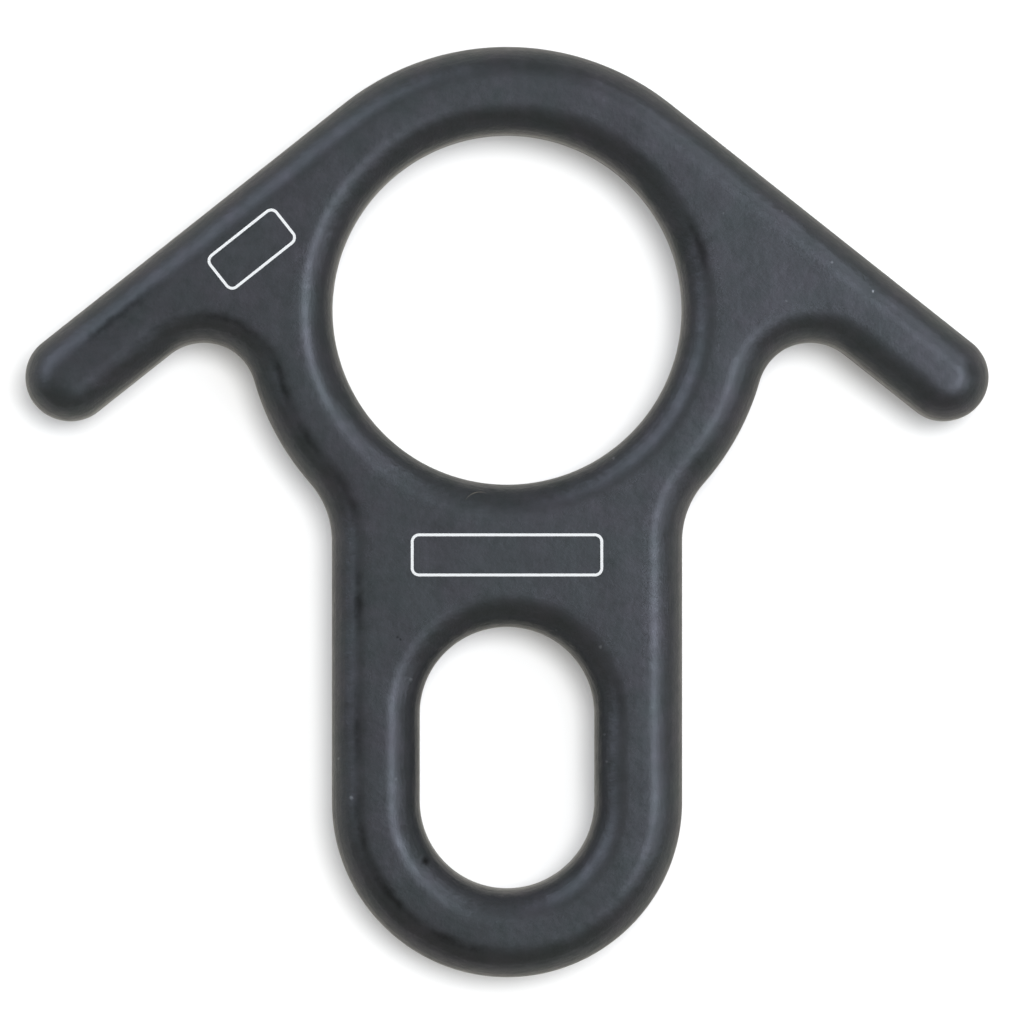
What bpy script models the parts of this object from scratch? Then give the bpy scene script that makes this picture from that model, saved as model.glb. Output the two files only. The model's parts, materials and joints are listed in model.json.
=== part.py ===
"""Rescue figure eight descender with ears, one solid piece of aluminium plate.

Lengths are in metres, +Z is up, and the plate lies flat on Z = 0 with its ears towards +Y.
The outline is drawn from the centre of the rope ring, and the finished plate is then moved so that
the middle of its length and width stands over the origin.

The real descender is cut to outline from plate, its two openings are milled, and one rounding
cutter then runs along every edge on both faces. The model is made in the same order: the section
that the cutter leaves is swept round the outline and the openings, spun about each arc's centre
and drawn along each straight, and the two flat faces are filled between the swept walls.
"""

import math

import bmesh
import bpy
from mathutils import Matrix, Vector

# Plate
PLATE_THICKNESS = 0.015875  # 5/8 in
EDGE_RADIUS = 0.005  # the rounding cutter
LEAST_FLAT = 0.0002  # what the cutter must leave flat along the middle of the narrowest bar

# Rope ring, which holds the bight of rope
RING_BORE = 0.0508  # 2 in
RING_BAND = 0.0127  # 1/2 in of metal round the bore

# Ears, which stop the rope from creeping up into a girth hitch
EAR_WIDTH = 0.0127
EAR_REACH = 0.0254  # how far outside the ring the centre of an ear's round tip lies
EAR_SLOPE = math.radians(38.4)  # how far an ear falls away below the level
NOTCH_RADIUS = 0.0078  # the hollow corner between ear and ring

# Neck and foot
NECK_WIDTH = 0.0508
NECK_FILLET_RADIUS = 0.0127  # the hollow corner between ring and neck

# Carabiner eye, a slot with round ends
EYE_WIDTH = 0.0254
EYE_STRAIGHT = 0.0127  # the straight sides between the two round ends
WEB_HEIGHT = 0.0206375  # 13/16 in of metal between the ring's bore and the eye

# How finely the round shapes are cut into flats
CHORD_ERROR = 0.00002  # the most that a flat leaves its arc
EDGE_STEPS = 6  # flats across one rounded edge
WELD_DISTANCE = 0.000001
SMOOTH_ANGLE = math.radians(40)  # the facets meet at far less, and nothing on the plate is sharp

# Finish: hard anodised aluminium, dyed slate grey
ANODISED_COLOUR = (0.061, 0.066, 0.075, 1.0)
ANODISED_ROUGHNESS = 0.42
ANODISED_METALLIC = 0.6

# Places that follow from the sizes above
RING_RADIUS = RING_BORE / 2 + RING_BAND
EYE_DROP = RING_BORE / 2 + WEB_HEIGHT + EYE_WIDTH / 2
FOOT_DROP = EYE_DROP + EYE_STRAIGHT
NARROWEST_BAR = min(PLATE_THICKNESS, RING_BAND, EAR_WIDTH, WEB_HEIGHT, (NECK_WIDTH - EYE_WIDTH) / 2)
CUT_RADIUS = min(EDGE_RADIUS, (NARROWEST_BAR - LEAST_FLAT) / 2)
UP = Vector((0, 0, 1))


def polar(radius, angle):
    """The point at that radius and angle from the ring's centre."""
    return Vector((radius * math.cos(angle), radius * math.sin(angle), 0))


def arc_steps(radius, turn):
    """How many flats an arc takes to stay within CHORD_ERROR."""
    flat = 2 * math.acos(1 - CHORD_ERROR / radius)
    return max(2, math.ceil(abs(turn) / flat))


def edge_section(rim, outwards):
    """The section of the edge, from the front face over both rounded edges to the back face.

    rim is the point of the outline that it stands on, and outwards the way out of the metal.
    """
    section = []
    for step in range(EDGE_STEPS + 1):
        angle = math.pi / 2 * step / EDGE_STEPS
        inset = CUT_RADIUS * (1 - math.sin(angle))
        fall = CUT_RADIUS * (1 - math.cos(angle))
        section.append((inset, fall))
    upper = [rim - outwards * inset + UP * (PLATE_THICKNESS - fall) for inset, fall in section]
    lower = [rim - outwards * inset + UP * fall for inset, fall in reversed(section)]
    return upper + lower


class Wall:
    """A wall of the plate, made by moving the edge section along one side of an outline."""

    def __init__(self, mesh, start, outwards):
        self.mesh = mesh
        verts = [mesh.verts.new(point) for point in edge_section(start, outwards)]
        self.front = verts + [mesh.edges.new(pair) for pair in zip(verts, verts[1:])]

    def spin(self, centre, radius, turn):
        """Carries the section round an arc. A positive turn is anticlockwise, seen from above."""
        spun = bmesh.ops.spin(
            self.mesh,
            geom=self.front,
            cent=centre,
            axis=UP,
            angle=turn,
            steps=arc_steps(radius, turn),
        )
        self.front = spun["geom_last"]

    def draw(self, move):
        """Carries the section along a straight."""
        drawn = bmesh.ops.extrude_edge_only(
            self.mesh, edges=[item for item in self.front if isinstance(item, bmesh.types.BMEdge)]
        )
        self.front = [item for item in drawn["geom"] if not isinstance(item, bmesh.types.BMFace)]
        moved = [item for item in self.front if isinstance(item, bmesh.types.BMVert)]
        bmesh.ops.translate(self.mesh, verts=moved, vec=move)


def sweep_outline(mesh):
    """The right half of the outside wall, clockwise from the top of the ring to the foot."""
    quarter = math.pi / 2

    # The ear's outer side touches the ring's outside circle where this normal leaves it
    ear_normal_angle = quarter - EAR_SLOPE
    ear_normal = polar(1, ear_normal_angle)
    ear_way = polar(1, -EAR_SLOPE)
    ear_root = ear_normal * (RING_RADIUS - EAR_WIDTH / 2)
    ear_length = (RING_RADIUS + EAR_REACH - ear_root.x) / ear_way.x
    tip_centre = ear_root + ear_way * ear_length

    # The notch touches the ear's inner side and the ring's outside circle
    notch_span = math.acos(
        (RING_RADIUS - EAR_WIDTH - NOTCH_RADIUS) / (RING_RADIUS + NOTCH_RADIUS)
    )
    notch_angle = ear_normal_angle - notch_span
    notch_centre = polar(RING_RADIUS + NOTCH_RADIUS, notch_angle)
    inner_length = (tip_centre - notch_centre).dot(ear_way)

    # The neck's fillet touches the ring's outside circle and the neck's straight side
    neck_side = NECK_WIDTH / 2
    fillet_angle = -math.acos(
        (neck_side + NECK_FILLET_RADIUS) / (RING_RADIUS + NECK_FILLET_RADIUS)
    )
    fillet_centre = polar(RING_RADIUS + NECK_FILLET_RADIUS, fillet_angle)
    neck_length = FOOT_DROP + fillet_centre.y

    wall = Wall(mesh, start=polar(RING_RADIUS, quarter), outwards=polar(1, quarter))
    wall.spin(Vector(), RING_RADIUS, -EAR_SLOPE)
    wall.draw(ear_way * ear_length)
    wall.spin(tip_centre, EAR_WIDTH / 2, -math.pi)
    wall.draw(ear_way * -inner_length)
    wall.spin(notch_centre, NOTCH_RADIUS, math.pi - notch_span)
    wall.spin(Vector(), RING_RADIUS, fillet_angle - notch_angle)
    wall.spin(fillet_centre, NECK_FILLET_RADIUS, -fillet_angle)
    wall.draw(Vector((0, -neck_length, 0)))
    wall.spin(Vector((0, -FOOT_DROP, 0)), neck_side, -quarter)


def sweep_bore(mesh):
    """The right half of the rope ring's bore."""
    radius = RING_BORE / 2
    wall = Wall(mesh, start=Vector((0, radius, 0)), outwards=Vector((0, -1, 0)))
    wall.spin(Vector(), radius, -math.pi)


def sweep_eye(mesh):
    """The right half of the carabiner eye."""
    radius = EYE_WIDTH / 2
    upper_centre = Vector((0, -EYE_DROP, 0))
    lower_centre = Vector((0, -FOOT_DROP, 0))
    wall = Wall(
        mesh, start=upper_centre + Vector((0, radius, 0)), outwards=Vector((0, -1, 0))
    )
    wall.spin(upper_centre, radius, -math.pi / 2)
    wall.draw(lower_centre - upper_centre)
    wall.spin(lower_centre, radius, -math.pi / 2)


def fill_face(mesh, height):
    """Fills one flat face between the rims at that height and the centreline."""
    rim = [
        edge
        for edge in mesh.edges
        if edge.is_boundary and all(abs(v.co.z - height) < WELD_DISTANCE for v in edge.verts)
    ]
    ends = [
        vert
        for vert in {vert for edge in rim for vert in edge.verts}
        if abs(vert.co.x) < WELD_DISTANCE
    ]
    ends.sort(key=lambda vert: vert.co.y)
    centreline = [mesh.edges.new(pair) for pair in zip(ends[::2], ends[1::2])]
    bmesh.ops.triangle_fill(mesh, edges=rim + centreline, use_beauty=True)


def half_plate():
    """The right half of the plate, open along the centreline."""
    mesh = bmesh.new()
    for sweep in (sweep_outline, sweep_bore, sweep_eye):
        sweep(mesh)
    bmesh.ops.remove_doubles(mesh, verts=mesh.verts, dist=WELD_DISTANCE)
    for vert in mesh.verts:
        if abs(vert.co.x) < WELD_DISTANCE:
            vert.co.x = 0
    for height in (0, PLATE_THICKNESS):
        fill_face(mesh, height)
    return mesh


def anodised_aluminium():
    """Hard anodised aluminium, tumbled before the bath, which leaves a soft slate grey sheen."""
    material = bpy.data.materials.new("anodised_aluminium")
    material.use_nodes = True
    shader = material.node_tree.nodes["Principled BSDF"]
    shader.inputs["Base Color"].default_value = ANODISED_COLOUR
    shader.inputs["Roughness"].default_value = ANODISED_ROUGHNESS
    shader.inputs["Metallic"].default_value = ANODISED_METALLIC
    return material


def clear_scene():
    for item in list(bpy.data.objects):
        bpy.data.objects.remove(item, do_unlink=True)


def build_descender():
    mesh = half_plate()
    bmesh.ops.mirror(
        mesh,
        geom=mesh.verts[:] + mesh.edges[:] + mesh.faces[:],
        matrix=Matrix.Identity(4),
        merge_dist=WELD_DISTANCE,
        axis="X",
    )
    bmesh.ops.remove_doubles(mesh, verts=mesh.verts, dist=WELD_DISTANCE)
    bmesh.ops.recalc_face_normals(mesh, faces=mesh.faces)

    foot = -FOOT_DROP - NECK_WIDTH / 2
    middle = (RING_RADIUS + foot) / 2
    bmesh.ops.translate(mesh, verts=mesh.verts, vec=(0, -middle, 0))

    data = bpy.data.meshes.new("descender_body")
    mesh.to_mesh(data)
    mesh.free()
    data.materials.append(anodised_aluminium())
    data.shade_smooth()
    data.set_sharp_from_angle(angle=SMOOTH_ANGLE)
    body = bpy.data.objects.new("descender_body", data)
    bpy.context.scene.collection.objects.link(body)
    return body


clear_scene()
build_descender()
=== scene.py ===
import json
import math

import bmesh
import bpy
from mathutils import Euler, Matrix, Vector

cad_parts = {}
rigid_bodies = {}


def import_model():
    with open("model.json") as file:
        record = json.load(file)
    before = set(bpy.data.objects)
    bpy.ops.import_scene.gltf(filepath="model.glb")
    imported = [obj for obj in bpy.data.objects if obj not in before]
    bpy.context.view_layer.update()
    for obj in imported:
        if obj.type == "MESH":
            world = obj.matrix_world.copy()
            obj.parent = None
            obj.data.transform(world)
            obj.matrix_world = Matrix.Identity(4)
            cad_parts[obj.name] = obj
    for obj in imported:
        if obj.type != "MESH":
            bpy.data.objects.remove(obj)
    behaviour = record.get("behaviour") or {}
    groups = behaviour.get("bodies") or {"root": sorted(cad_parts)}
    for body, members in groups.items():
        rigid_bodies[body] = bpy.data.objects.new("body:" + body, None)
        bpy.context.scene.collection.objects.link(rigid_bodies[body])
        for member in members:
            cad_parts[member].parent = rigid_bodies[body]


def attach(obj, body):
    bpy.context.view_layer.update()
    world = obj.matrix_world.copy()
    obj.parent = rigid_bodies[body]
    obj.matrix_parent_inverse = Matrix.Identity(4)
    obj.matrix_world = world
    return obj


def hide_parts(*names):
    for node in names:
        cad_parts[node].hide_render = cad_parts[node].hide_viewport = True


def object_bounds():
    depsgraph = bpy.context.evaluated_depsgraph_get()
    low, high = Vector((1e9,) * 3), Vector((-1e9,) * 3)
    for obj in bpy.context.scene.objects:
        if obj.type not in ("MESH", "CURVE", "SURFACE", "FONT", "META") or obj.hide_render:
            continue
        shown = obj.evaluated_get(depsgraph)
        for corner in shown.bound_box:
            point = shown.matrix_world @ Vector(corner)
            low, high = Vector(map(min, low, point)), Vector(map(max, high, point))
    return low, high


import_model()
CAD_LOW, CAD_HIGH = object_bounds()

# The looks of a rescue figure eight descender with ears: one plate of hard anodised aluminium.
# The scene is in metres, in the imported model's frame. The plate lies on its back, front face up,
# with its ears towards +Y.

MM = 0.001

# The plate, in the sizes of its CAD node
CAD_NODE = "descender_body"
PLATE_THICKNESS = CAD_HIGH.z - CAD_LOW.z
TOP_OF_RING = CAD_HIGH.y
EDGE_RADIUS = 5 * MM
RING_BORE = 50.8 * MM
RING_BAND = 12.7 * MM
EAR_WIDTH = 12.7 * MM
EAR_REACH = 25.4 * MM
EAR_SLOPE = math.radians(38.4)
NOTCH_RADIUS = 7.8 * MM
NECK_WIDTH = 50.8 * MM
NECK_FILLET_RADIUS = 12.7 * MM
EYE_WIDTH = 25.4 * MM
EYE_STRAIGHT = 12.7 * MM
WEB_HEIGHT = 20.6375 * MM

RING_RADIUS = RING_BORE / 2 + RING_BAND
RING_CENTRE = Vector((0, TOP_OF_RING - RING_RADIUS, 0))
EYE_UPPER_CENTRE = RING_CENTRE - Vector((0, RING_BORE / 2 + WEB_HEIGHT + EYE_WIDTH / 2, 0))
EYE_LOWER_CENTRE = EYE_UPPER_CENTRE - Vector((0, EYE_STRAIGHT, 0))
QUARTER = math.pi / 2

# How finely the render's mesh is cut
CHORD_ERROR = 0.003 * MM
EDGE_SEGMENTS = 14
BLEND_LAND = 1 * MM  # tumbling softens the line where a rounded edge meets the flat face

# Satin: the oxide film dulls the metal's shine, more in some places than in others
SATIN_METALLIC = 0.6
SATIN_ROUGHNESS = 0.4
SATIN_CHANGE = 0.04

# Dye, which takes unevenly, and the widths of its blotches
GREENER_GREY = "#42474A"
VIOLET_GREY = "#46464C"
CAST_WIDTH = 6 * MM
CAST_RANGE = (0.3, 0.7)  # of the noise, from all greener to all violet
DYE_WIDTH = 3 * MM
DYE_CHANGE = 0.14

# Relief left by tumbling and by the rounding cutter, and the widths of its marks
GRAIN_WIDTH = 0.35 * MM
GRAIN_DEPTH = 0.012 * MM
DIMPLE_WIDTH = 1.6 * MM
DIMPLE_DEPTH = 0.037 * MM
SWELL_WIDTH = 9 * MM
SWELL_DEPTH = 0.17 * MM
CUTTER_LINE_WIDTH = 0.5 * MM
CUTTER_LINE_DEPTH = 0.012 * MM
CUTTER_LINE_SHADE = 0.12
CUTTER_LINE_START = 0.1 * MM  # how far under the face the lines have their full shade
EDGE_ROUGHER = 2.8  # how many times deeper the relief is on the milled edges
EDGE_ROUGHER_START = 1 * MM  # how far under the face it is that deep
NOISE_RANGE = (0.25, 0.75)  # where nearly all of a noise pattern lies

# Painted shade along the crease where a rounded edge starts from the face, in stretches, most of
# them on the left-facing edges turned away from the key lamps
CREASE_REACH = 1.1 * MM  # how far out from the face's rim it is darkest
CREASE_HALF_WIDTH = 0.95 * MM
CREASE_WANDER = 0.9 * MM
CREASE_SHADE = 0.6
CREASE_HALO = 0.18  # the share of it that spreads over the face beside the crease
SHADE_PATCH_WIDTH = 3.5 * MM
SHADE_PATCH_RANGE = (0.22, 0.58)  # of the noise, from none to full

# Spots, seen from above: x, y and radius in millimetres, and strength
# Stretches of painted shade along the crease, mostly on the left-facing edges turned away from the
# key lamps
PAINTED_SHADE_STRETCHES = (
    (-26.0, 1.0, 8.0, 1.3),
    (-26.0, -12.5, 9.5, 2.0),
    (-26.0, -31.5, 9.0, 1.6),
    (-26.0, -46.0, 10.0, 2.0),
    (-20.0, -57.5, 10.0, 2.0),
    (-8.0, -64.0, 8.0, 1.2),
    (-36.5, 18.5, 9.0, 2.0),
    (-41.0, 24.5, 8.0, 1.6),
    (-32.0, 9.0, 7.5, 1.7),
    (-56.0, 28.0, 10.0, 1.4),
    (26.0, 38.0, 6.0, 1.7),
    (17.0, 48.0, 6.0, 1.2),
    (12.0, -28.0, 7.0, 1.2),
)
NICKS = (
    (47.0, 36.1, 0.30, 0.3),
    (52.9, 31.9, 0.26, 1.0),
    (40.4, 30.5, 0.26, 0.2),
    (39.8, 43.5, 0.24, 0.15),
    (13.5, -19.5, 0.36, 0.28),
    (7.1, -17.1, 0.26, 0.15),
    (-13.9, -24.2, 0.38, 0.22),
    (-16.1, -38.6, 0.32, 0.14),
    (14.4, -36.1, 0.30, 0.22),
    (14.1, -32.2, 0.30, 0.2),
    (-22.5, -41.3, 0.42, 0.32),
    (-24.4, -35.7, 0.32, 0.2),
    (15.4, 7.8, 0.30, 0.28),
    (31.3, 43.2, 0.26, 0.15),
)
PITS = (
    (-11.8, -50.5, 0.95, 1.0),
    (-15.8, -18.1, 0.30, 0.7),
    (-15.4, -18.4, 0.24, 0.7),
)
NICK_COLOUR = "#A6AAB0"  # bare metal
NICK_DEPTH = 0.02 * MM
PIT_COLOUR = "#121314"
RAGGED_WIDTH = 0.25 * MM
RAGGED_REACH = 0.3 * MM  # how far the ragged rims of nicks and pits stray

# The fine bowed scratch over the rounded edge of the bore
SCRATCH_COLOUR = "#77746F"
SCRATCH_BOW_CENTRE = Vector((-3.9, 0.4, 0)) * MM
SCRATCH_BOW_RADIUS = 2.5 * MM
SCRATCH_MIDDLE = math.radians(107)
SCRATCH_LENGTH = 3.6 * MM
SCRATCH_WIDTH = 0.16 * MM

# White ink: two empty frames for the owner's own marks, on the neck and along the left ear
INK_COLOUR = "#FFFFFF"
INK_ROUGHNESS = 0.55
INK_LINE = 0.4 * MM
INK_CORNER = 1.2 * MM
NECK_FRAME = Vector((27.8, 6.2, 0)) * MM
NECK_FRAME_CENTRE = Vector((0, -6.2, 0)) * MM
EAR_FRAME = Vector((12.6, 6.2, 0)) * MM
EAR_FRAME_CENTRE = Vector((-36.9, 38.0, 0)) * MM

# Camera
CAMERA_HEIGHT = 1500 * MM
SENSOR_WIDTH = 36  # in millimetres, as the lens is
PICTURE_WIDTH = 148.8 * MM
PICTURE_CENTRE_X = 0.72 * MM

# Paper and room
PAPER_WIDTH = 8
PAPER_GAP = 0.05 * MM
PAPER_COLOUR = "#A8A49A"  # as the plate is lit by it
PAPER_SEEN_COLOUR = "#B2B2B2"  # as the eye sees it
PAPER_LIFT = 0.27
PAPER_LIFT_IN_GLOSS = 0.15
PAPER_LAMP_WAY = (45, 10)  # azimuth and angle off the vertical, in degrees
PAPER_LAMP_STRENGTH = 4.0
PAPER_LAMP_SPREAD = math.radians(20)
WHITE = "#FFFFFF"
ROOM_COLOUR = "#7C7661"
ROOM_WHITE_IN_GLOSS = 0.015
FAR_PAPER_TOP = math.sin(math.radians(5))  # heights over the horizon, on a sphere of radius 1
ROOM_START = math.sin(math.radians(12))

# Lamps
LAMP_DISTANCE = 1
KEY_LIGHT = "#EDF4FF"
RIM_LIGHT = "#E6EFFF"
SOFTBOXES = (
    # name, azimuth and angle off the vertical in degrees, power in watts, width in metres, colour
    ("key", 0, 18, 1.5, 0.3, KEY_LIGHT),
    ("key_upper_wing", 22, 28, 1.8, 0.3, KEY_LIGHT),
    ("key_lower_wing", 338, 28, 0.9, 0.3, KEY_LIGHT),
    ("upper_right_fill", 50, 52, 1.4, 0.4, KEY_LIGHT),
    ("right_fill", 345, 52, 0.85, 0.3, KEY_LIGHT),
    ("upper_left_fill", 138, 24, 0.15, 0.4, RIM_LIGHT),
    ("upper_left_rim", 132, 52, 2.55, 0.7, RIM_LIGHT),
    ("left_rim", 165, 52, 1.7, 0.6, RIM_LIGHT),
)


def linear(code):
    """An sRGB hex colour as linear numbers."""
    channels = [int(code[at : at + 2], 16) / 255 for at in (1, 3, 5)]
    return [c / 12.92 if c <= 0.04045 else ((c + 0.055) / 1.055) ** 2.4 for c in channels]


def polar(radius, angle):
    """The offset at that radius and angle, seen from above."""
    return Vector((radius * math.cos(angle), radius * math.sin(angle), 0))


def deselect_all():
    bpy.ops.object.select_all(action="DESELECT")


def set_card(mesh, rim, metal_way):
    """Sets an upright card at a point of the outline's rim and rounds its two outer corners.

    The card stands in the plane of symmetry, facing +X. It reaches from the rim towards the metal,
    which lies along +Y or -Y as metal_way says, over the rounded edge and the strip where that edge
    blends into the flat. What is left selected is the section of the plate's edge, ready to be
    swept.
    """
    reach = EDGE_RADIUS + BLEND_LAND
    middle = rim + Vector((0, metal_way * reach / 2, PLATE_THICKNESS / 2))
    bpy.ops.mesh.primitive_plane_add(size=1, location=middle, rotation=(0, QUARTER, 0))
    bpy.ops.transform.resize(value=(1, reach, PLATE_THICKNESS), center_override=middle)

    fresh = bmesh.from_edit_mesh(mesh)
    card = [vert for vert in fresh.verts if vert.select]
    for vert in card:
        vert.select = abs(vert.co.y - rim.y) < reach / 2
    fresh.select_flush_mode()
    bmesh.update_edit_mesh(mesh)
    bpy.ops.mesh.bevel(
        offset_type="OFFSET",
        offset=EDGE_RADIUS,
        segments=EDGE_SEGMENTS,
        profile=0.5,
        affect="VERTICES",
        clamp_overlap=False,
    )
    bpy.ops.mesh.select_linked()
    bpy.ops.mesh.delete(type="ONLY_FACE")

    # The card's inner edge goes, which leaves the section open towards the flats
    inner = rim.y + metal_way * reach
    fresh = bmesh.from_edit_mesh(mesh)
    for edge in fresh.edges:
        edge.select = not edge.link_faces and all(
            abs(vert.co.y - inner) < CHORD_ERROR for vert in edge.verts
        )
    bmesh.update_edit_mesh(mesh)
    bpy.ops.mesh.delete(type="EDGE")
    fresh = bmesh.from_edit_mesh(mesh)
    for edge in fresh.edges:
        edge.select = not edge.link_faces
    fresh.select_flush_mode()
    bmesh.update_edit_mesh(mesh)


def spin(centre, radius, turn):
    """Sweeps the selected section round an arc. A positive turn is anticlockwise from above."""
    flat = 2 * math.acos(1 - CHORD_ERROR / radius)
    bpy.ops.mesh.spin(
        steps=math.ceil(abs(turn) / flat),
        angle=-turn,
        center=centre,
        axis=(0, 0, 1),
    )


def draw(move):
    """Sweeps the selected section along a straight."""
    bpy.ops.mesh.extrude_region_move(TRANSFORM_OT_translate={"value": move})


def sweep_outside(mesh):
    """The right half of the plate's outside edge, from the top of the ring to the foot."""
    ear_normal_angle = QUARTER - EAR_SLOPE
    ear_way = polar(1, -EAR_SLOPE)
    ear_root = polar(RING_RADIUS - EAR_WIDTH / 2, ear_normal_angle)
    ear_length = (RING_RADIUS + EAR_REACH - ear_root.x) / ear_way.x
    tip_centre = ear_root + ear_way * ear_length

    notch_span = math.acos((RING_RADIUS - EAR_WIDTH - NOTCH_RADIUS) / (RING_RADIUS + NOTCH_RADIUS))
    notch_angle = ear_normal_angle - notch_span
    notch_centre = polar(RING_RADIUS + NOTCH_RADIUS, notch_angle)
    inner_length = (tip_centre - notch_centre).dot(ear_way)

    fillet_reach = RING_RADIUS + NECK_FILLET_RADIUS
    fillet_angle = -math.acos((NECK_WIDTH / 2 + NECK_FILLET_RADIUS) / fillet_reach)
    fillet_centre = RING_CENTRE + polar(fillet_reach, fillet_angle)

    set_card(mesh, Vector((0, TOP_OF_RING, 0)), -1)
    spin(RING_CENTRE, RING_RADIUS, -EAR_SLOPE)
    draw(ear_way * ear_length)
    spin(RING_CENTRE + tip_centre, EAR_WIDTH / 2, -math.pi)
    draw(ear_way * -inner_length)
    spin(RING_CENTRE + notch_centre, NOTCH_RADIUS, math.pi - notch_span)
    spin(RING_CENTRE, RING_RADIUS, fillet_angle - notch_angle)
    spin(fillet_centre, NECK_FILLET_RADIUS, -fillet_angle)
    draw(Vector((0, EYE_LOWER_CENTRE.y - fillet_centre.y, 0)))
    spin(EYE_LOWER_CENTRE, NECK_WIDTH / 2, -QUARTER)


def sweep_bore(mesh):
    """The right half of the rope ring's bore."""
    radius = RING_BORE / 2
    set_card(mesh, RING_CENTRE + Vector((0, radius, 0)), 1)
    spin(RING_CENTRE, radius, -math.pi)


def sweep_eye(mesh):
    """The right half of the carabiner eye."""
    radius = EYE_WIDTH / 2
    set_card(mesh, EYE_UPPER_CENTRE + Vector((0, radius, 0)), 1)
    spin(EYE_UPPER_CENTRE, radius, -QUARTER)
    draw(EYE_LOWER_CENTRE - EYE_UPPER_CENTRE)
    spin(EYE_LOWER_CENTRE, radius, -QUARTER)


def fill_flat(mesh, height):
    """Fills the flat face at that height between the three swept edges."""
    edited = bmesh.from_edit_mesh(mesh)
    for edge in edited.edges:
        edge.select = edge.is_boundary and all(
            abs(vert.co.z - height) < CHORD_ERROR for vert in edge.verts
        )
    bmesh.update_edit_mesh(mesh)
    bpy.ops.mesh.fill(use_beauty=True)


def model_plate():
    """The plate: its edges swept round both openings and the outside, mirrored, and filled."""
    deselect_all()
    bpy.ops.mesh.primitive_plane_add(size=MM)
    plate = bpy.context.object
    plate.name = "anodised_plate"
    mesh = plate.data
    bpy.ops.object.mode_set(mode="EDIT")
    bpy.ops.mesh.select_all(action="SELECT")
    bpy.ops.mesh.delete(type="VERT")
    sweep_outside(mesh)
    sweep_bore(mesh)
    sweep_eye(mesh)
    bpy.ops.object.mode_set(mode="OBJECT")

    mirror = plate.modifiers.new("other_half", "MIRROR")
    mirror.merge_threshold = CHORD_ERROR
    bpy.ops.object.modifier_apply(modifier=mirror.name)

    bpy.ops.object.mode_set(mode="EDIT")
    bpy.ops.mesh.select_all(action="SELECT")
    bpy.ops.mesh.remove_doubles(threshold=CHORD_ERROR / 3)
    for height in (0, PLATE_THICKNESS):
        fill_flat(mesh, height)
    bpy.ops.mesh.select_all(action="SELECT")
    bpy.ops.mesh.normals_make_consistent(inside=False)
    bpy.ops.object.mode_set(mode="OBJECT")
    bpy.ops.object.shade_smooth()
    return plate


def add_node(tree, kind, inputs=(), **settings):
    """Adds a shader node.

    Settings are its properties, and inputs give each named socket a value or a link.
    """
    node = tree.nodes.new(kind)
    for name, value in settings.items():
        setattr(node, name, value)
    for socket, value in dict(inputs).items():
        if isinstance(value, bpy.types.NodeSocket):
            tree.links.new(value, node.inputs[socket])
        else:
            node.inputs[socket].default_value = value
    return node


def spots(tree, place, table):
    """How strongly each place carries one of the soft-edged spots in that table."""
    found = 0
    for x, y, radius, strength in table:
        away = add_node(
            tree,
            "ShaderNodeVectorMath",
            {0: place, 1: (x * MM, y * MM, 0)},
            operation="DISTANCE",
        )
        spot = add_node(
            tree,
            "ShaderNodeMapRange",
            {
                "Value": away.outputs["Value"],
                "From Min": radius * MM,
                "From Max": 0,
                "To Max": strength,
            },
            interpolation_type="SMOOTHSTEP",
        )
        found = add_node(
            tree, "ShaderNodeMath", {0: found, 1: spot.outputs[0]}, operation="MAXIMUM"
        ).outputs[0]
    return found


def hair_scratch(tree, from_above):
    """Where the fine bowed scratch runs over the rounded edge of the bore."""
    middle = SCRATCH_BOW_CENTRE + polar(SCRATCH_BOW_RADIUS, SCRATCH_MIDDLE)
    away = add_node(
        tree, "ShaderNodeVectorMath", {0: from_above, 1: SCRATCH_BOW_CENTRE}, operation="DISTANCE"
    )
    line = add_node(
        tree,
        "ShaderNodeMath",
        {0: away.outputs["Value"], 1: SCRATCH_BOW_RADIUS, 2: SCRATCH_WIDTH / 2},
        operation="COMPARE",
    )
    along = add_node(
        tree, "ShaderNodeVectorMath", {0: from_above, 1: middle}, operation="DISTANCE"
    )
    fade = add_node(
        tree,
        "ShaderNodeMapRange",
        {"Value": along.outputs["Value"], "From Min": SCRATCH_LENGTH / 2, "From Max": 0},
    )
    return add_node(
        tree, "ShaderNodeMath", {0: line.outputs[0], 1: fade.outputs[0]}, operation="MULTIPLY"
    ).outputs[0]


def ink_frame(tree, from_above, centre, turn, size):
    """Where the ink draws a frame of that outer size, with round corners."""
    place = add_node(
        tree,
        "ShaderNodeMapping",
        {"Vector": from_above, "Location": centre, "Rotation": (0, 0, turn)},
        vector_type="TEXTURE",
    )
    away = add_node(tree, "ShaderNodeVectorMath", {0: place.outputs[0]}, operation="ABSOLUTE")
    past_corner = add_node(
        tree,
        "ShaderNodeVectorMath",
        {0: away.outputs[0], 1: size / 2 - Vector((INK_CORNER, INK_CORNER, 0))},
        operation="SUBTRACT",
    )
    outwards = add_node(
        tree, "ShaderNodeVectorMath", {0: past_corner.outputs[0], 1: (0, 0, 0)}, operation="MAXIMUM"
    )
    reach = add_node(tree, "ShaderNodeVectorMath", {0: outwards.outputs[0]}, operation="LENGTH")
    return add_node(
        tree,
        "ShaderNodeMath",
        {0: reach.outputs["Value"], 1: INK_CORNER - INK_LINE / 2, 2: INK_LINE / 2},
        operation="COMPARE",
    ).outputs[0]


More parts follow.
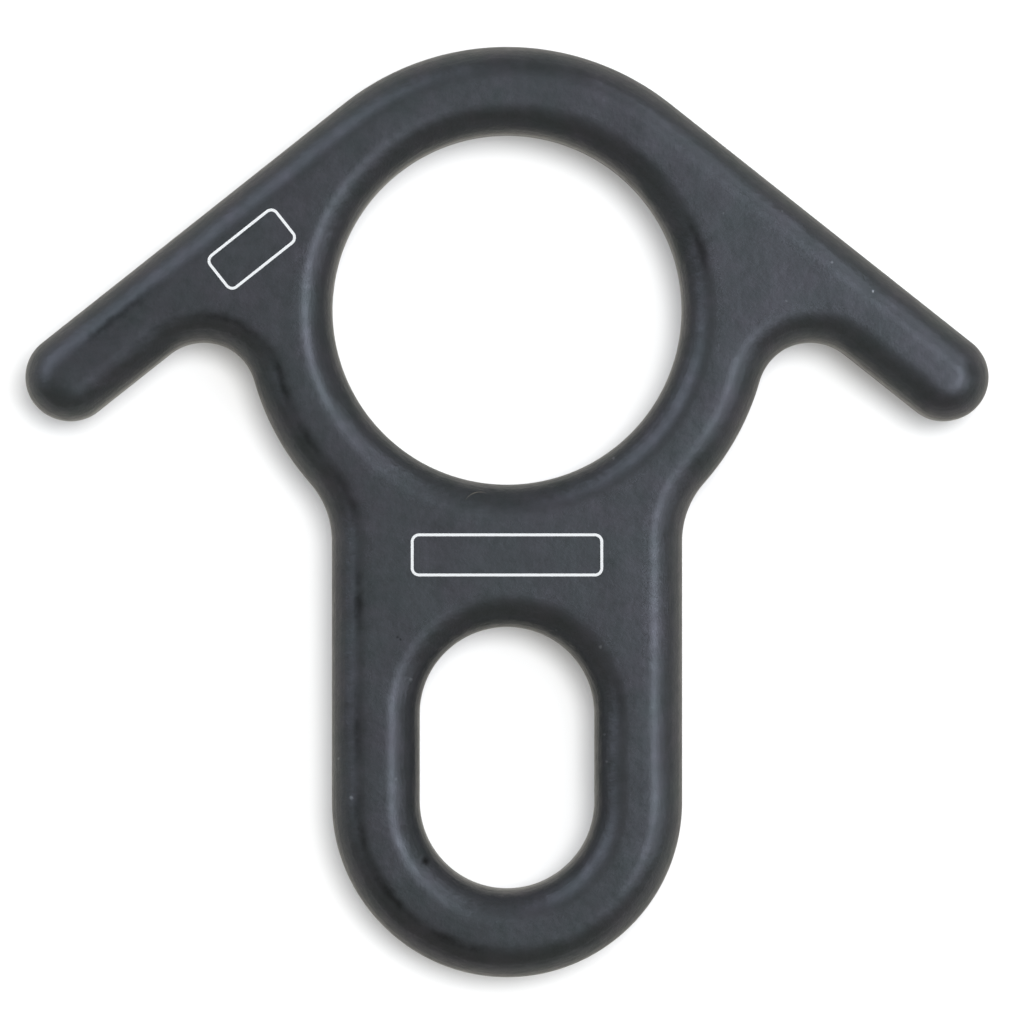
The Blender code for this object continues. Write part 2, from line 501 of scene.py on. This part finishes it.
def front_marks(tree, place, from_above, height):
    """Where the nicks, pits, scratch and ink lie, all on the front alone."""
    shake = add_node(tree, "ShaderNodeTexNoise", {"Vector": place, "Scale": 1 / RAGGED_WIDTH})
    even_shake = add_node(
        tree,
        "ShaderNodeVectorMath",
        {0: shake.outputs["Color"], 1: (0.5, 0.5, 0.5)},
        operation="SUBTRACT",
    )
    ragged = add_node(
        tree,
        "ShaderNodeVectorMath",
        {0: even_shake.outputs[0], 1: (RAGGED_REACH, RAGGED_REACH, 0), 2: from_above},
        operation="MULTIPLY_ADD",
    ).outputs[0]
    frames = add_node(
        tree,
        "ShaderNodeMath",
        {
            0: ink_frame(tree, from_above, NECK_FRAME_CENTRE, 0, NECK_FRAME),
            1: ink_frame(tree, from_above, EAR_FRAME_CENTRE, EAR_SLOPE, EAR_FRAME),
        },
        operation="MAXIMUM",
    ).outputs[0]
    front = add_node(
        tree, "ShaderNodeMath", {0: height, 1: PLATE_THICKNESS / 2}, operation="GREATER_THAN"
    ).outputs[0]
    found = (
        spots(tree, ragged, NICKS),
        spots(tree, ragged, PITS),
        hair_scratch(tree, from_above),
        frames,
    )
    return [
        add_node(tree, "ShaderNodeMath", {0: mark, 1: front}, operation="MULTIPLY").outputs[0]
        for mark in found
    ]


def fall_under_face(tree, height):
    """How far each place lies under the nearer face, which is nothing on the faces themselves."""
    from_middle = add_node(
        tree, "ShaderNodeMath", {0: height, 1: PLATE_THICKNESS / 2}, operation="SUBTRACT"
    )
    either_way = add_node(tree, "ShaderNodeMath", {0: from_middle.outputs[0]}, operation="ABSOLUTE")
    return add_node(
        tree,
        "ShaderNodeMath",
        {0: PLATE_THICKNESS / 2, 1: either_way.outputs[0]},
        operation="SUBTRACT",
    ).outputs[0]


def tumbled_patterns(tree, place, height):
    """The fine grain, the shallow dimples and slow swells, and the cutter's wandering lines."""
    grain = add_node(
        tree,
        "ShaderNodeTexNoise",
        {"Vector": place, "Scale": 1 / GRAIN_WIDTH, "Detail": 2, "Roughness": 0.6},
    ).outputs[0]
    dimples = add_node(
        tree,
        "ShaderNodeTexNoise",
        {"Vector": place, "Scale": 1 / DIMPLE_WIDTH, "Detail": 2, "Roughness": 0.5},
    ).outputs[0]
    swell = add_node(
        tree, "ShaderNodeTexNoise", {"Vector": place, "Scale": 1 / SWELL_WIDTH, "Detail": 1}
    ).outputs[0]
    wander = add_node(
        tree,
        "ShaderNodeMath",
        {0: swell, 1: 2 * CUTTER_LINE_WIDTH, 2: height},
        operation="MULTIPLY_ADD",
    )
    cutter_lines = add_node(
        tree,
        "ShaderNodeTexNoise",
        {"W": wander.outputs[0], "Scale": 1 / CUTTER_LINE_WIDTH, "Detail": 2},
        noise_dimensions="1D",
    ).outputs[0]
    return grain, dimples, swell, cutter_lines


def tumbled_relief(tree, patterns, nicks, fall):
    """The normal of the tumbled surface, which is rougher on the edges and dented by the nicks."""
    layers = tuple(zip(patterns, (GRAIN_DEPTH, DIMPLE_DEPTH, SWELL_DEPTH, CUTTER_LINE_DEPTH)))
    relief = -sum(depth for pattern, depth in layers) / 2
    for pattern, depth in layers:
        relief = add_node(
            tree,
            "ShaderNodeMath",
            {0: pattern, 1: depth, 2: relief},
            operation="MULTIPLY_ADD",
        ).outputs[0]
    deeper = add_node(
        tree,
        "ShaderNodeMapRange",
        {
            "Value": fall,
            "From Min": 0,
            "From Max": EDGE_ROUGHER_START,
            "To Min": 1,
            "To Max": EDGE_ROUGHER,
        },
        interpolation_type="SMOOTHSTEP",
    )
    edge_relief = add_node(
        tree, "ShaderNodeMath", {0: relief, 1: deeper.outputs[0]}, operation="MULTIPLY"
    )
    nicked_relief = add_node(
        tree,
        "ShaderNodeMath",
        {0: nicks, 1: -NICK_DEPTH, 2: edge_relief.outputs[0]},
        operation="MULTIPLY_ADD",
    )
    return add_node(
        tree, "ShaderNodeBump", {"Height": nicked_relief.outputs[0], "Distance": 1}
    ).outputs["Normal"]


def dye_colour(tree, place):
    """The slate grey dye, now greener and now more violet."""
    cast = add_node(
        tree,
        "ShaderNodeTexNoise",
        {"Vector": place, "Scale": 1 / CAST_WIDTH, "Detail": 3, "Roughness": 0.6},
    )
    cast_share = add_node(
        tree,
        "ShaderNodeMapRange",
        {"Value": cast.outputs[0], "From Min": CAST_RANGE[0], "From Max": CAST_RANGE[1]},
    )
    return add_node(
        tree,
        "ShaderNodeMix",
        {
            "Factor": cast_share.outputs[0],
            "A": (*linear(GREENER_GREY), 1),
            "B": (*linear(VIOLET_GREY), 1),
        },
        data_type="RGBA",
    ).outputs["Result"]


def dye_strength(tree, place, fall, cutter_lines):
    """How strongly the dye has taken: in blotches, and along the cutter's lines on the edges."""
    blotches = add_node(
        tree,
        "ShaderNodeTexNoise",
        {"Vector": place, "Scale": 1 / DYE_WIDTH, "Detail": 5, "Roughness": 0.7},
    )
    strength = add_node(
        tree,
        "ShaderNodeMapRange",
        {
            "Value": blotches.outputs[0],
            "From Min": NOISE_RANGE[0],
            "From Max": NOISE_RANGE[1],
            "To Min": 1 - DYE_CHANGE,
            "To Max": 1 + DYE_CHANGE,
        },
    )
    on_edge = add_node(
        tree,
        "ShaderNodeMapRange",
        {
            "Value": fall,
            "From Min": 0,
            "From Max": CUTTER_LINE_START,
            "To Max": CUTTER_LINE_SHADE,
        },
    )
    even_lines = add_node(
        tree, "ShaderNodeMath", {0: cutter_lines, 1: 0.5}, operation="SUBTRACT"
    )
    return add_node(
        tree,
        "ShaderNodeMath",
        {0: even_lines.outputs[0], 1: on_edge.outputs[0], 2: strength.outputs[0]},
        operation="MULTIPLY_ADD",
    ).outputs[0]


def painted_crease_shade(tree, place, from_above, fall, dimples):
    """How dark the painted shade makes the crease, in its stretches and in patches of them."""
    squared_reach = add_node(
        tree, "ShaderNodeMath", {0: fall, 1: 2 * EDGE_RADIUS}, operation="MULTIPLY"
    )
    reach = add_node(tree, "ShaderNodeMath", {0: squared_reach.outputs[0]}, operation="SQRT")
    wandering = add_node(
        tree,
        "ShaderNodeMapRange",
        {
            "Value": dimples,
            "To Min": CREASE_REACH - CREASE_WANDER / 2,
            "To Max": CREASE_REACH + CREASE_WANDER / 2,
        },
    )
    off_crease = add_node(
        tree,
        "ShaderNodeMath",
        {0: reach.outputs[0], 1: wandering.outputs[0]},
        operation="SUBTRACT",
    )
    either_way = add_node(tree, "ShaderNodeMath", {0: off_crease.outputs[0]}, operation="ABSOLUTE")
    crease = add_node(
        tree,
        "ShaderNodeMapRange",
        {
            "Value": either_way.outputs[0],
            "From Min": CREASE_HALF_WIDTH,
            "From Max": 0,
            "To Min": CREASE_HALO * CREASE_SHADE,
            "To Max": CREASE_SHADE,
        },
        interpolation_type="SMOOTHSTEP",
    )
    # Noise that breaks the painted crease shade into patches
    shade_noise = add_node(
        tree,
        "ShaderNodeTexNoise",
        {"Vector": place, "Scale": 1 / SHADE_PATCH_WIDTH, "Detail": 4, "Roughness": 0.6},
    )
    patches = add_node(
        tree,
        "ShaderNodeMapRange",
        {"Value": shade_noise.outputs[0], "From Min": SHADE_PATCH_RANGE[0], "From Max": SHADE_PATCH_RANGE[1]},
    )
    shade_share = add_node(
        tree,
        "ShaderNodeMath",
        {0: patches.outputs[0], 1: spots(tree, from_above, PAINTED_SHADE_STRETCHES)},
        operation="MULTIPLY",
        use_clamp=True,
    )
    return add_node(
        tree, "ShaderNodeMath", {0: crease.outputs[0], 1: shade_share.outputs[0]}, operation="MULTIPLY"
    ).outputs[0]


def hard_anodised_aluminium():
    """Aluminium plate, milled round its edges, tumbled, hard anodised and dyed slate grey.

    The tumbled metal under its thick oxide film shines with a dull satin, so that highlights have
    soft ends. Tumbling leaves a fine even grain, shallow dimples and slow swells, and the cutter
    leaves faint lines along the edges. The dye takes a little unevenly, and painted shade darkens
    stretches of the crease where an edge starts. Nicks show bright metal, pits are dark, and the
    print is flat white ink.
    """
    material = bpy.data.materials.new("hard_anodised_aluminium")
    material.use_nodes = True
    tree = material.node_tree
    shader = tree.nodes["Principled BSDF"]
    place = add_node(tree, "ShaderNodeTexCoord").outputs["Object"]
    height = add_node(tree, "ShaderNodeSeparateXYZ", {"Vector": place}).outputs["Z"]
    from_above = add_node(
        tree, "ShaderNodeVectorMath", {0: place, 1: (1, 1, 0)}, operation="MULTIPLY"
    ).outputs[0]
    fall = fall_under_face(tree, height)
    patterns = tumbled_patterns(tree, place, height)
    _, dimples, _, cutter_lines = patterns
    nicks, pits, scratch, ink = front_marks(tree, place, from_above, height)

    normal = tumbled_relief(tree, patterns, nicks, fall)
    tree.links.new(normal, shader.inputs["Normal"])

    # The dye's own tone, less the painted shade in the crease
    dye_tone_and_crease_shade = add_node(
        tree,
        "ShaderNodeMath",
        {
            0: dye_strength(tree, place, fall, cutter_lines),
            1: painted_crease_shade(tree, place, from_above, fall, dimples),
        },
        operation="SUBTRACT",
    )
    surface = add_node(
        tree,
        "ShaderNodeVectorMath",
        {0: dye_colour(tree, place), "Scale": dye_tone_and_crease_shade.outputs[0]},
        operation="SCALE",
    ).outputs[0]
    for share, colour in (
        (pits, PIT_COLOUR),
        (scratch, SCRATCH_COLOUR),
        (nicks, NICK_COLOUR),
        (ink, INK_COLOUR),
    ):
        surface = add_node(
            tree,
            "ShaderNodeMix",
            {"Factor": share, "A": surface, "B": (*linear(colour), 1)},
            data_type="RGBA",
        ).outputs["Result"]
    tree.links.new(surface, shader.inputs["Base Color"])

    satin = add_node(
        tree,
        "ShaderNodeMapRange",
        {
            "Value": dimples,
            "From Min": NOISE_RANGE[0],
            "From Max": NOISE_RANGE[1],
            "To Min": SATIN_ROUGHNESS - SATIN_CHANGE,
            "To Max": SATIN_ROUGHNESS + SATIN_CHANGE,
        },
    ).outputs[0]
    for socket, metal, printed in (
        ("Roughness", satin, INK_ROUGHNESS),
        ("Metallic", SATIN_METALLIC, 0),
    ):
        amount = add_node(
            tree, "ShaderNodeMix", {"Factor": ink, "A": metal, "B": printed}, data_type="FLOAT"
        )
        tree.links.new(amount.outputs["Result"], shader.inputs[socket])
    return material


def seen_share(tree, by_eye, in_gloss):
    """The first number for what the eye sees itself, the second for what it sees in gloss."""
    ray = add_node(tree, "ShaderNodeLightPath")
    mirrored = add_node(
        tree,
        "ShaderNodeMath",
        {0: ray.outputs["Is Glossy Ray"], 1: ray.outputs["Is Transmission Ray"]},
        operation="MAXIMUM",
    )
    gloss_share = add_node(
        tree, "ShaderNodeMath", {0: mirrored.outputs[0], 1: in_gloss}, operation="MULTIPLY"
    )
    return add_node(
        tree,
        "ShaderNodeMath",
        {0: ray.outputs["Is Camera Ray"], 1: by_eye, 2: gloss_share.outputs[0]},
        operation="MULTIPLY_ADD",
    ).outputs[0]


def white_studio_paper():
    """Creamy white paper, to the eye exposed just past white where nothing shades it.

    Its own faint glow stands for the spread light in the paper: the eye and the plate's gloss see
    it, and it adds no other light to the plate. The paper hides nothing from below.
    """
    material = bpy.data.materials.new("white_studio_paper")
    material.use_nodes = True
    tree = material.node_tree
    tree.nodes.remove(tree.nodes["Principled BSDF"])
    ray = add_node(tree, "ShaderNodeLightPath")
    colour = add_node(
        tree,
        "ShaderNodeMix",
        {
            "Factor": ray.outputs["Is Camera Ray"],
            "A": (*linear(PAPER_COLOUR), 1),
            "B": (*linear(PAPER_SEEN_COLOUR), 1),
        },
        data_type="RGBA",
    )
    sheet = add_node(tree, "ShaderNodeBsdfDiffuse", {"Color": colour.outputs["Result"]})
    lift = seen_share(tree, PAPER_LIFT, PAPER_LIFT_IN_GLOSS)
    glow = add_node(tree, "ShaderNodeEmission", {"Strength": lift})
    lifted = add_node(tree, "ShaderNodeAddShader", {0: sheet.outputs[0], 1: glow.outputs[0]})
    nothing = add_node(tree, "ShaderNodeBsdfTransparent")
    side = add_node(tree, "ShaderNodeNewGeometry")
    one_sided = add_node(
        tree,
        "ShaderNodeMixShader",
        {0: side.outputs["Backfacing"], 1: lifted.outputs[0], 2: nothing.outputs[0]},
    )
    tree.links.new(one_sided.outputs[0], tree.nodes["Material Output"].inputs["Surface"])
    return material


def studio_floor():
    """A wide sheet of paper under the plate."""
    deselect_all()
    bpy.ops.mesh.primitive_plane_add(size=PAPER_WIDTH, location=(0, 0, CAD_LOW.z - PAPER_GAP))
    floor = bpy.context.object
    floor.name = "studio_floor"
    floor.data.materials.append(white_studio_paper())
    return floor


def studio_world():
    """A dim warm room, with the paper's white far end along the horizon.

    The eye sees plain white all round, and the plate's gloss a trace of it.
    """
    world = bpy.data.worlds.new("studio_world")
    world.use_nodes = True
    tree = world.node_tree
    way = add_node(tree, "ShaderNodeTexCoord")
    height = add_node(tree, "ShaderNodeSeparateXYZ", {"Vector": way.outputs["Generated"]})
    room_share = add_node(
        tree,
        "ShaderNodeMapRange",
        {"Value": height.outputs["Z"], "From Min": FAR_PAPER_TOP, "From Max": ROOM_START},
        interpolation_type="SMOOTHSTEP",
    )
    dim = (*linear(ROOM_COLOUR), 1)
    white = (*linear(WHITE), 1)
    room = add_node(
        tree,
        "ShaderNodeMix",
        {"Factor": room_share.outputs["Result"], "A": white, "B": dim},
        data_type="RGBA",
    )
    seen = add_node(
        tree,
        "ShaderNodeMix",
        {
            "Factor": seen_share(tree, 1, ROOM_WHITE_IN_GLOSS),
            "A": room.outputs["Result"],
            "B": white,
        },
        data_type="RGBA",
    )
    tree.links.new(seen.outputs["Result"], tree.nodes["Background"].inputs["Color"])
    bpy.context.scene.world = world


def aimed(lamp, azimuth, off_vertical):
    """Hangs a lamp over the plate and points it there. Azimuth 0 is on the right, 90 at the top."""
    hung = bpy.data.objects.new(lamp.name, lamp)
    way = Vector((0, 0, 1))
    way.rotate(Euler((0, math.radians(off_vertical), math.radians(azimuth))))
    hung.location = way * LAMP_DISTANCE
    hung.rotation_euler = way.to_track_quat("Z", "Y").to_euler()
    bpy.context.scene.collection.objects.link(hung)
    return hung


def softbox(name, azimuth, off_vertical, power, width, colour):
    """A round softbox."""
    lamp = bpy.data.lights.new(name, "AREA")
    lamp.shape = "DISK"
    lamp.size = width
    lamp.energy = power
    lamp.color = linear(colour)
    aimed(lamp, azimuth, off_vertical)


def paper_lamp(floor):
    """Light for the paper alone, even all over it, in which the plate casts its soft shadow."""
    lamp = bpy.data.lights.new("paper_lamp", "SUN")
    lamp.angle = PAPER_LAMP_SPREAD
    lamp.energy = PAPER_LAMP_STRENGTH
    paper_alone = bpy.data.collections.new("paper_alone")
    paper_alone.objects.link(floor)
    aimed(lamp, *PAPER_LAMP_WAY).light_linking.receiver_collection = paper_alone


def camera():
    """Straight down on the plate through a long lens, as the photograph was taken."""
    data = bpy.data.cameras.new("camera")
    data.sensor_width = SENSOR_WIDTH
    data.lens = SENSOR_WIDTH * (CAMERA_HEIGHT - PLATE_THICKNESS / 2) / PICTURE_WIDTH
    seen_from = bpy.data.objects.new("camera", data)
    seen_from.location = (PICTURE_CENTRE_X, 0, CAMERA_HEIGHT)
    bpy.context.scene.collection.objects.link(seen_from)
    bpy.context.scene.camera = seen_from


plate = model_plate()
plate.data.materials.append(hard_anodised_aluminium())
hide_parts(CAD_NODE)
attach(plate, "root")

paper_lamp(studio_floor())
for box in SOFTBOXES:
    softbox(*box)
camera()
studio_world()
bpy.context.scene.view_settings.view_transform = "Standard"
